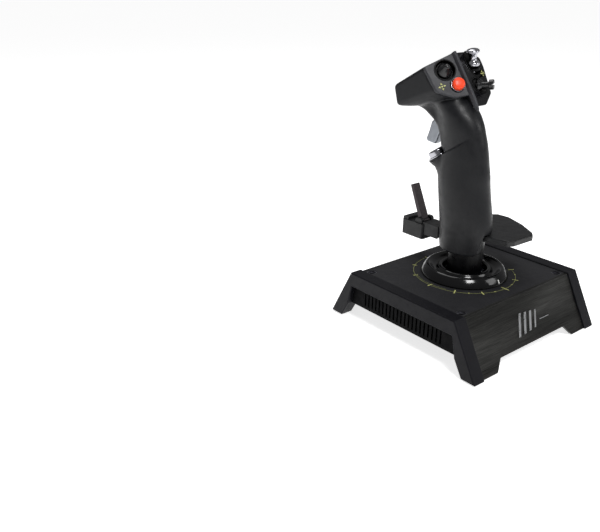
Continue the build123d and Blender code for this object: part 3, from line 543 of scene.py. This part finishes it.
# sections of the hand grip: height, centre y, half width, half depth. LOW is the palm's part, UP the waist under the head.
LOW = [
    (20.0, 4.2, 19.4, 26.0), (30.0, 4.0, 19.9, 27.6), (45.0, 3.8, 20.5, 29.0), (54.0, 4.5, 21.0, 29.1), (66.0, 6.5, 21.2, 28.9), (77.0, 8.6, 21.0, 28.6), (88.0, 10.6, 20.6, 28.4),
    (96.0, 12.0, 20.0, 28.3), (104.0, 13.3, 19.4, 28.0), (112.0, 14.2, 18.9, 26.6), (120.0, 14.6, 18.4, 25.0), (134.0, 17.0, 17.6, 23.0), (150.0, 21.0, 17.0, 21.0),
]
UP = [
    (60.0, 7.0, 9.0, 14.0), (80.0, 7.6, 12.5, 20.0), (96.0, 8.8, 14.8, 23.4), (104.0, 9.7, 15.2, 23.9), (112.0, 11.0, 15.4, 24.0), (120.0, 12.5, 15.7, 24.1), (128.0, 14.2, 16.0, 24.1), (136.0, 16.1, 16.5, 23.7),
    (145.0, 18.3, 17.1, 23.1), (152.0, 20.8, 17.4, 22.0), (158.0, 24.0, 17.6, 21.0), (165.0, 30.4, 17.6, 21.0), (176.0, 40.0, 17.6, 21.0), (200.0, 58.0, 17.0, 21.0),
]


def sections(rows):
    hz = np.array([r[0] for r in rows])
    fine = np.linspace(hz[0], hz[-1], 400)
    cols = []
    for c in (1, 2, 3):
        vals = np.array([r[c] for r in rows], float)
        m = np.zeros(len(vals))
        m[1:-1] = (vals[2:] - vals[:-2]) / (hz[2:] - hz[:-2])
        m[0], m[-1] = (vals[1] - vals[0]) / (hz[1] - hz[0]), (vals[-1] - vals[-2]) / (hz[-1] - hz[-2])
        i = np.clip(np.searchsorted(hz, fine) - 1, 0, len(hz) - 2)
        h = hz[i + 1] - hz[i]
        t = (fine - hz[i]) / h
        cols.append((2 * t**3 - 3 * t**2 + 1) * vals[i] + (t**3 - 2 * t**2 + t) * h * m[i] + (-2 * t**3 + 3 * t**2) * vals[i + 1] + (t**3 - t**2) * h * m[i + 1])
    return fine, cols


LOW_S, UP_S = sections(LOW), sections(UP)


def handle_d(x, y, z, rows, grow=0.0):
    fine, (cys, ws, ds) = rows
    cy, w, d = np.interp(z, fine, cys), np.interp(z, fine, ws) + grow, np.interp(z, fine, ds) + grow
    qx, qy = x / w, (y - cy) / d
    k = np.sqrt(qx * qx + qy * qy)
    g = np.sqrt((qx / w) ** 2 + (qy / d) ** 2)
    return np.where(k > 0.05, (k - 1) * k / np.maximum(g, 1e-5), -np.minimum(w, d)) * 0.96


def stem_d(x, y, z):
    sink = 1.0 - 0.5 * np.clip((z - 42.0) / 24.0, 0, 1) ** 1.5
    w, d = 18.5 * sink, 22.4 * sink
    qx, qy = (x + 3.2) / w, (y - 4.6) / d
    k = np.sqrt(qx * qx + qy * qy)
    g = np.sqrt((qx / w) ** 2 + (qy / d) ** 2)
    e = np.where(k > 0.05, (k - 1) * k / np.maximum(g, 1e-5), -10.0)
    return smax(smax(e, 24.0 - z, 1.4), z - 62.0, 1.0)


def head_planes(side):
    if side < 0:
        p1, p2, p3 = np.array([-24, 85, 180.0]), np.array([-28, 45, 202.0]), np.array([0, 37.7, 212.5])
        n = norm(np.cross(p2 - p1, p3 - p2))
        n = n if n[2] > 0 else -n
        return [(R0, N_LEFT), (p2, n), ((-28.6, 40, 0), (-1, -0.1, 0)), ((0, 13.3, 175.2), (0, -15.1, -49.7)), ((-29.4, 32.0, 179.5), (-0.584, -0.349, -0.732))]
    return [(R0, N_RIGHT), ((0, 37.7, 212.5), (0, 29.5, 48.3)), ((20, 36, 212.5), (0.42, 0.1, 0.9)), ((32.4, 19.8, 187.8), (1, -0.05, -0.19)),
            ((33.0, 45, 190), (1, 0.12, 0)), ((0, 3.8, 165.6), (0.10, -5.0, -53)), ((25.5, 9.0, 172.2), (0.555, -0.05, -0.83))]


COMMON = [((0, 82.5, 180), (0, 19, -5)), ((0, 81.0, 183.5), (0, 0.8, 0.6)), ((0, 0, 160), (0, 0, -1))]


def half_head_d(x, y, z, side, k, face_k=None):
    d = None
    for i, (p, n) in enumerate(head_planes(side) + COMMON):
        e = plane_d(x, y, z, p, n)
        kk = (face_k if face_k is not None else k)
        d = e if d is None else smax(d, e, kk if i == 1 else k)
    return d


def head_d(x, y, z, k=3.0):
    return np.where(x < 0, half_head_d(x, y, z, -1, k), half_head_d(x, y, z, 1, k))


def grip_d(x, y, z):
    o, ax, ay, n = LEDGE
    dx, dy, dz = x - o[0], y - o[1], z - o[2]
    lx, ly, lz = dx * ax[0] + dy * ax[1] + dz * ax[2], dx * ay[0] + dy * ay[1] + dz * ay[2], dx * n[0] + dy * n[1] + dz * n[2]
    up = smax(handle_d(x, y, z, UP_S), 66.0 - z, 1.0)
    # the raised front left side below the metal button, with a crisp upper lip that fades out round the back and the right
    t = np.clip(-lz / 24.0, 0, 1)
    cyy, rx, ry = 5.0 * t**1.1, 11.2 - 3.0 * t**1.2, 11.3 - 3.0 * t**0.8
    kq = np.sqrt((lx / rx) ** 2 + ((ly - cyy) / ry) ** 2)
    cone = (kq - 1) * np.minimum(rx, ry)
    cone = smax(cone, -20.0 - lz, 6.0)
    low = smin(handle_d(x, y, z, LOW_S), cone, 5.0)
    fade = np.clip((x + 1.0) / 9.0, 0, 1) + np.clip((4.0 - y) / 9.0, 0, 1)
    low = smax(low, lz, 0.7 + 15.0 * np.clip(fade, 0, 1) ** 1.2)
    # the palm heel ends over the hand rest; the rest of the grip runs on down as a column
    side = np.clip((0.79 * x - 0.614 * y - 3.0) / 9.0, 0, 1)
    low = smax(low, 24.0 + 21.0 * side * side * (3 - 2 * side) - z, 1.4 + 2.6 * side)
    low = smin(low, stem_d(x, y, z), 1.2)
    h = smin(up, low, 0.7 + 4.5 * np.clip(fade, 0, 1))
    return smax(h, z - 171.0, 5.0)


def shell_d(x, y, z, side):
    h = grip_d(x, y, z)
    hd = half_head_d(x, y, z, side, 3.2)
    depth = plane_d(x, y, z, R0, N_LEFT if side < 0 else N_RIGHT)
    hd = smax(hd, depth + 2.55, 0.5)
    # behind the head the handle blends in; under the thumb panel the corner stays crisp
    kk = 1.6 + 5.0 * np.clip((y - 33.0) / 12.0, 0, 1)
    throat = prism_d(y, z, x, [(67.5, 160.5), (49.0, 149.0), (42.0, 142.5), (38.0, 136.0), (34.5, 124.0), (20, 120), (20, 174), (62, 174)], -11.0, 11.0, 4.0)
    h = smin(h, throat, 6.0)
    s = smin(h, hd, kk)
    s = np.maximum(s, np.where(z > 176.0, depth + 2.5, -50.0))
    # openings
    tr = prism_d(y, z, x, [(30, 154.5), (50, 154.5), (72, 130), (60, 119), (30, 119)], -5.0, 5.0, 0.2)
    s = smax(s, -tr, 0.6)
    s = smax(s, -cyl_d(x, y, z, LEDGE, 9.2, -9.0, 14.0), 0.4)
    s = smax(s, -cyl_d(x, y, z, LEDGE, 10.9, 0.0, 14.0), 0.4)
    s = smax(s, -cyl_d(x, y, z, LEDGE, 10.2, -3.0, 14.0), 0.2)
    s = smax(s, -cyl_d(x, y, z, LEDGE, 4.0, -19.0, -8.0), 0.2)
    rib = prism_d(y, z, x, [tuple((R0 - U * 3.0 + N_RIGHT * 6.0)[1:]), tuple((R1 + U * 0.4 + N_RIGHT * 6.0)[1:]), tuple((R1 + U * 0.4 - N_RIGHT * 2.6)[1:]), tuple((R0 - U * 3.0 - N_RIGHT * 2.6)[1:])], -1.5, 1.5, 0.0)
    s = smax(s, -rib, 0.2)
    # hollow behind the thumb panels, so that the wells have room
    s = np.maximum(s, -cyl_d(x, y, z, TRIM, 10.7, -10.4, 6))
    s = np.maximum(s, -cyl_d(x, y, z, RED, 7.0, -11.2, 6))
    s = np.maximum(s, -cyl_d(x, y, z, VIEW, 8.8, -10.4, 16))
    s = np.maximum(s, -cyl_d(x, y, z, CASTLE, 7.7, -10.4, 16))
    for yy, zz, xh in ((25.0, 62.0, 13.4), (16.0, 112.0, 15.5), (18.0, 140.0, 14.4), (64.0, 172.5, 22.5)):
        rr = np.sqrt((y - yy) ** 2 + (z - zz) ** 2)
        s = smax(s, -np.maximum(rr - 2.95, xh - x), 0.4)
    return s


def snap_seam(v, side, h):
    """Draw the vertices at the parting plane onto the plane and onto the outer surface, for a crisp thin seam."""
    x, y, z = v[:, 0], v[:, 1], v[:, 2]
    d = shell_d(np.full_like(x, side * 0.03), y, z, side)
    m = (np.abs(x) < 0.75 * h) & (np.abs(d) < 0.75 * h)
    p = v[m].copy()
    p[:, 0] = side * 0.03
    e = 0.02
    for _ in range(5):
        x, y, z = p[:, 0], p[:, 1], p[:, 2]
        d = shell_d(x, y, z, side)
        gy = (shell_d(x, y + e, z, side) - shell_d(x, y - e, z, side)) / (2 * e)
        gz = (shell_d(x, y, z + e, side) - shell_d(x, y, z - e, side)) / (2 * e)
        gg = np.maximum(gy * gy + gz * gz, 0.1)
        st = np.stack([-d * gy / gg, -d * gz / gg], 1)
        ln = np.linalg.norm(st, axis=1, keepdims=True)
        p[:, 1:] += st * np.minimum(1, 0.5 * h / np.maximum(ln, 1e-9))
    v[m] = p
    return v


GRIP_H = 0.75


for side, name in ((-1, "left"), (1, "right")):
    lo = (-33.5, -30, 20) if side < 0 else (-1.6, -30, 20)
    hi = (1.6, 90, 216) if side < 0 else (39.5, 90, 216)
    vs, qs = net(lambda x, y, z, s=side: np.maximum(shell_d(x, y, z, s), s * -x + 0.03), lo, hi, GRIP_H)
    vs = snap_seam(vs, side, GRIP_H)
    add_mesh(f"grip_{name}_moulding", vs, qs, M["grip"], "stick", [f"grip_{name}_shell"], 36.0)


# ---------------------------------------------------------------- thumb panels
def panel_left_d(x, y, z):
    depth = plane_d(x, y, z, R0, N_LEFT)
    d = half_head_d(x, y, z, -1, 1.3) + 0.25
    d = smax(d, -(depth + 2.4), 0.3)
    for pl, r in ((TRIM, 10.62), (RED, 6.95)):
        d = smax(d, -cyl_d(x, y, z, pl, r, -12.0, 8.0), 0.55)
    return np.maximum(d, x + 1.62)


def panel_right_d(x, y, z):
    depth = plane_d(x, y, z, R0, N_RIGHT)
    d = half_head_d(x, y, z, 1, 1.6) + 0.25
    d = smax(d, -(depth + 2.4), 0.3)
    for pl, r in ((VIEW, 8.72), (CASTLE, 7.62)):
        d = smax(d, -cyl_d(x, y, z, pl, r, -12.0, 16.0), 0.6)
    return np.maximum(d, 1.62 - x)


def rib_d(x, y, z):
    u = (y - R0[1]) * U[1] + (z - R0[2]) * U[2]
    hgt = (y - R0[1]) * N_RIGHT[1] + (z - R0[2]) * N_RIGHT[2]
    length = float(np.linalg.norm(R1 - R0))
    top = 0.9 + 1.3 * np.clip((u + 2.0) / 12.0, 0, 1)
    half = 1.25 * np.clip(0.45 + (u + 3.0) / 9.0, 0, 1) + 0.2
    d = smax(np.abs(x) - half, hgt - top, 0.5)
    d = smax(d, -2.5 - hgt, 0.2)
    d = smax(d, -3.2 - u + 0.35 * np.maximum(hgt, 0), 0.8)
    return smax(d, u - length - 0.2, 0.8)


PANEL_H = 0.5
sdf_piece("ridge_rib", rib_d, (-3, -3, 158), (3, 44, 217), 0.4, M["panel"], "stick", ["centre_rib"], 34.0)
sdf_piece("left_thumb_cover", panel_left_d, (-33, -2, 158), (0, 48, 216), PANEL_H, M["panel"], "stick", ["left_thumb_panel"], 34.0)
sdf_piece("right_thumb_cover", panel_right_d, (0, -2, 158), (38, 48, 216), PANEL_H, M["bezel"], "stick", ["right_thumb_panel"], 34.0)


# ---------------------------------------------------------------- turned pieces
def rounded(pts, r, n=4):
    """The profile with each inner corner rounded by up to r."""
    pts = [np.array(p, float) for p in pts]
    out = [pts[0]]
    for i in range(1, len(pts) - 1):
        a, b, c = pts[i - 1], pts[i], pts[i + 1]
        u, w = a - b, c - b
        lu, lw = np.linalg.norm(u), np.linalg.norm(w)
        if lu < 1e-6 or lw < 1e-6:
            out.append(b)
            continue
        cut = min(r, 0.42 * lu, 0.42 * lw)
        p, q = b + u / lu * cut, b + w / lw * cut
        for t in np.linspace(0, 1, n + 1):
            out.append((1 - t) ** 2 * p + 2 * t * (1 - t) * b + t * t * q)
    out.append(pts[-1])
    return out


def lathe(name, pl, profile, mat, body, replaces=(), seg=96, r=0.35, closed=False, angle=40.0, z_up=True, wobble=None):
    """Turns an (r, z) profile about the plane's normal. closed: a ring whose profile joins up."""
    o, ax, ay, n = pl
    prof = rounded(list(profile) + ([profile[0], profile[1]] if closed else []), r)
    if closed:
        prof = prof[5:] if len(prof) > 6 else prof
        prof = prof[:-1]
    verts, faces = [], []
    rows = []
    for pr, pz in prof:
        if pr < 1e-6:
            rows.append([len(verts)])
            verts.append(o + n * pz)
            continue
        row = []
        for k in range(seg):
            a = 2 * math.pi * k / seg
            rr = pr if wobble is None else wobble(pr, pz, a)
            row.append(len(verts))
            verts.append(o + (ax * math.cos(a) + ay * math.sin(a)) * rr + n * pz)
        rows.append(row)
    pairs = list(zip(rows, rows[1:])) + ([(rows[-1], rows[0])] if closed else [])
    for ra, rb in pairs:
        for k in range(seg):
            k2 = (k + 1) % seg
            if len(ra) == 1 and len(rb) == 1:
                continue
            if len(ra) == 1:
                faces.append((ra[0], rb[k], rb[k2]))
            elif len(rb) == 1:
                faces.append((ra[k], rb[0], ra[k2]))
            else:
                faces.append((ra[k], rb[k], rb[k2], ra[k2]))
    ob = add_mesh(name, np.array(verts), faces, mat, body, replaces, angle, z_up)
    import bmesh
    bm = bmesh.new()
    bm.from_mesh(ob.data)
    bmesh.ops.remove_doubles(bm, verts=bm.verts, dist=1e-7)
    bmesh.ops.recalc_face_normals(bm, faces=bm.faces)
    bm.to_mesh(ob.data)
    bm.free()
    ob.data.polygons.foreach_set("use_smooth", np.ones(len(ob.data.polygons), bool))
    ob.data.set_sharp_from_angle(angle=math.radians(angle))
    return ob


ZP = (np.array([0.0, 0.0, 0.0]), np.array([1.0, 0, 0]), np.array([0, 1.0, 0]), np.array([0, 0, 1.0]))
lathe("turned_collar", ZP, [(31.0, 52.7), (43.5, 52.7), (43.9, 53.6), (43.2, 55.6), (41.4, 58.4), (39.2, 61.2), (37.6, 62.3), (36.4, 62.3), (34.8, 61.2), (31.5, 58.4), (28.6, 57.3), (27.2, 58.6),
      (26.0, 60.4), (24.2, 61.0), (22.6, 60.4), (22.0, 58.6), (22.0, 54.0), (31.0, 54.0)], M["collar"], "turntable", ["collar"], seg=144, r=0.9, closed=True, z_up=False)
lathe("neck_tube", ZP, [(6.5, 54.6), (16.6, 54.6), (17.4, 55.4), (17.4, 97.0), (16.6, 97.6), (6.5, 97.6)], M["neck"], "stick", ["neck_sleeve"], seg=96, r=0.5, closed=True, z_up=False)
lathe("trim_cone", TRIM, [(0, -8), (2.2, -8), (2.2, -1.6), (7, -1.6), (7.3, -0.9), (5.9, 0.9), (4.2, 3.2), (3, 5.8), (2.3, 7.6), (1.3, 8.4), (0, 8.6)], M["hat"], "trim_cap", ["trim_hat_cap"], r=0.6)
lathe("view_mushroom", VIEW, [(0, -8), (2.0, -8), (2.0, -1.6), (5.2, -1.6), (6.1, -0.6), (6.5, 1.2), (5.9, 2.4), (4.3, 3.8), (3.5, 5.6), (3.6, 7.6), (4.6, 9.9), (6.1, 11.4), (6.5, 12.2), (6.3, 13.3), (5.2, 14.4), (3.0, 15.1), (0, 15.3)],
      M["chrome"], "view_cap", ["view_hat_cap"], r=0.9)
lathe("release_button", RED, [(0, -7.0), (2.4, -7.0), (2.4, -1.0), (5.9, -1.0), (5.9, 4.0), (5.5, 4.9), (4.2, 5.6), (2.2, 6.0), (0, 6.1)], M["red"], "release", ["red_button"], r=0.5)
lathe("steering_button", LEDGE, [(0, -14.8), (2.8, -14.8), (2.8, -5.0), (8.6, -5.0), (8.6, 5.6), (8.1, 6.6), (7.2, 7.1), (5.6, 6.6), (2.4, 6.0), (0, 5.9)], M["chrome"], "nws_button", ["nws_button"], r=0.5)
lathe("steering_rim", LEDGE, [(9.2, -3.0), (10.2, -3.0), (10.2, 0.0), (10.6, 0.0), (10.6, 0.9), (10.1, 1.4), (9.5, 1.4), (9.2, 1.0)], M["chrome"], "stick", ["nws_rim"], r=0.25, closed=True)


# ---------------------------------------------------------------- trigger
def trigger_d(x, y, z):
    d = prism_d(y, z, x, [(37.5, 146.5), (37.5, 151), (40, 152.4), (45, 152.6), (50, 149.5), (54.8, 145), (57.4, 135.5), (60.4, 127.4), (58.8, 124.8), (48.8, 123.6), (46.6, 126), (44.5, 133), (41, 141)], -4.5, 4.5, 1.7)
    rr = np.sqrt((y - 40.0) ** 2 + (z - 149.0) ** 2)
    return smax(d, 1.56 - rr, 0.2)


sdf_piece("trigger_blade", trigger_d, (-6, 34, 120), (6, 64, 156), 0.45, M["trigger"], "trigger", ["trigger"], 34.0)


# ---------------------------------------------------------------- print on the deck, badge
def flat_ring(r0, r1, a0, a1, z, n, th):
    v, f = [], []
    for i in range(n + 1):
        a = math.radians(a0 + (a1 - a0) * i / n)
        c, s_ = math.cos(a), math.sin(a)
        v += [(r0 * c, r0 * s_, z), (r1 * c, r1 * s_, z), (r1 * c, r1 * s_, z + th), (r0 * c, r0 * s_, z + th)]
    for i in range(n):
        b = 4 * i
        for k in range(4):
            f.append((b + k, b + (k + 1) % 4, b + 4 + (k + 1) % 4, b + 4 + k))
    f += [(3, 2, 1, 0), (4 * n, 4 * n + 1, 4 * n + 2, 4 * n + 3)]
    return v, f


def join(parts):
    v, f = [], []
    for pv, pf in parts:
        b = len(v)
        v += list(pv)
        f += [tuple(i + b for i in q) for q in pf]
    return v, f


lo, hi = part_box("dial_scale")
zs, th = lo[2] * 1000, (hi[2] - lo[2]) * 1000
v, f = join([flat_ring(50.75, 51.25, 90, 331, zs, 160, th * 0.8), flat_ring(48.9, 49.2, 148, 200, zs, 40, th * 0.8)])
ring = add_mesh("dial_ring", v, f, M["dial_faint"], "base", ["dial_scale"], z_up=False)
ticks = []
for a in range(90, 331, 30):
    half = {270: 4.4, 240: 3.3, 210: 3.6, 300: 3.0, 330: 3.0, 180: 3.4}.get(a, 2.4)
    w = 0.55 if a in (210, 240, 270) else 0.42
    da = math.degrees(w / 51.0)
    ticks.append(flat_ring(51 - half, 51 + half, a - da, a + da, zs, 2, th))
for a in (225, 255, 285, 315):
    ticks.append(flat_ring(50.3, 51.7, a - 0.8, a + 0.8, zs, 2, th))
v, f = join(ticks)
add_mesh("dial_ticks", v, f, M["dial"], "base", ["dial_scale"], z_up=False)

bl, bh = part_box("badge")
slope = (97.0 - 68.0) / 54.0
pn = norm((0, -1, slope))
pu = norm((0, slope, 1))
px = np.array([1.0, 0, 0])
bv = np.array([tuple(w.co) for w in NODES["badge"].data.vertices]) * 1000
back, front = (bv @ pn).min(), (bv @ pn).max()
mid = np.array([(bl[0] + bh[0]) * 500, 0, 0])
mu = float(((bv @ pu).min() + (bv @ pu).max()) / 2)


def slab(pts, h0, h1):
    """A bevelled flat plate on the pilot panel; pts are (across, up) from the badge's middle."""
    v, f = [], []
    c = np.mean(pts, 0)
    rings = [(h0, 0.0), (h1 - 0.12, 0.0), (h1, 0.14)]
    n = len(pts)
    for hh, ins in rings:
        for p in pts:
            q = np.array(p) + (c - np.array(p)) / max(np.linalg.norm(c - np.array(p)), 1e-6) * ins
            v.append(tuple(mid + px * q[0] + pu * (mu + q[1]) + pn * hh))
    for k in range(2):
        for i in range(n):
            f.append((k * n + i, k * n + (i + 1) % n, (k + 1) * n + (i + 1) % n, (k + 1) * n + i))
    f += [tuple(range(2 * n, 3 * n)), tuple(reversed(range(n)))]
    return v, f


bars = []
for x0, h, w in ((-17.0, 10.5, 3.2), (-8.8, 9.6, 3.2), (-0.6, 8.8, 3.2), (7.2, 8.0, 2.2)):
    bars.append(slab([(x0 - 0.42 * h - w / 2, -h), (x0 - 0.42 * h + w / 2, -h), (x0 + 0.42 * h + w / 2, h), (x0 + 0.42 * h - w / 2, h)], back, front))
bars.append(slab([(13.5, -2.9), (27.5, -2.9), (27.8, -2.2), (13.8, -2.2)], back, front))
v, f = join(bars)
add_mesh("badge_bars", v, f, M["badge"], "base", ["badge"], angle=20.0, z_up=False)

# ---------------------------------------------------------------- softened edges on the parts kept from the design
for node, width in (("left_cheek", 1.0), ("right_cheek", 1.0), ("deck_plate", 0.4), ("pilot_panel", 0.35), ("nose_panel", 0.35), ("paddle_bracket", 0.6), ("paddle_lever", 0.4), ("hand_rest", 0.4)):
    soften(node, width)
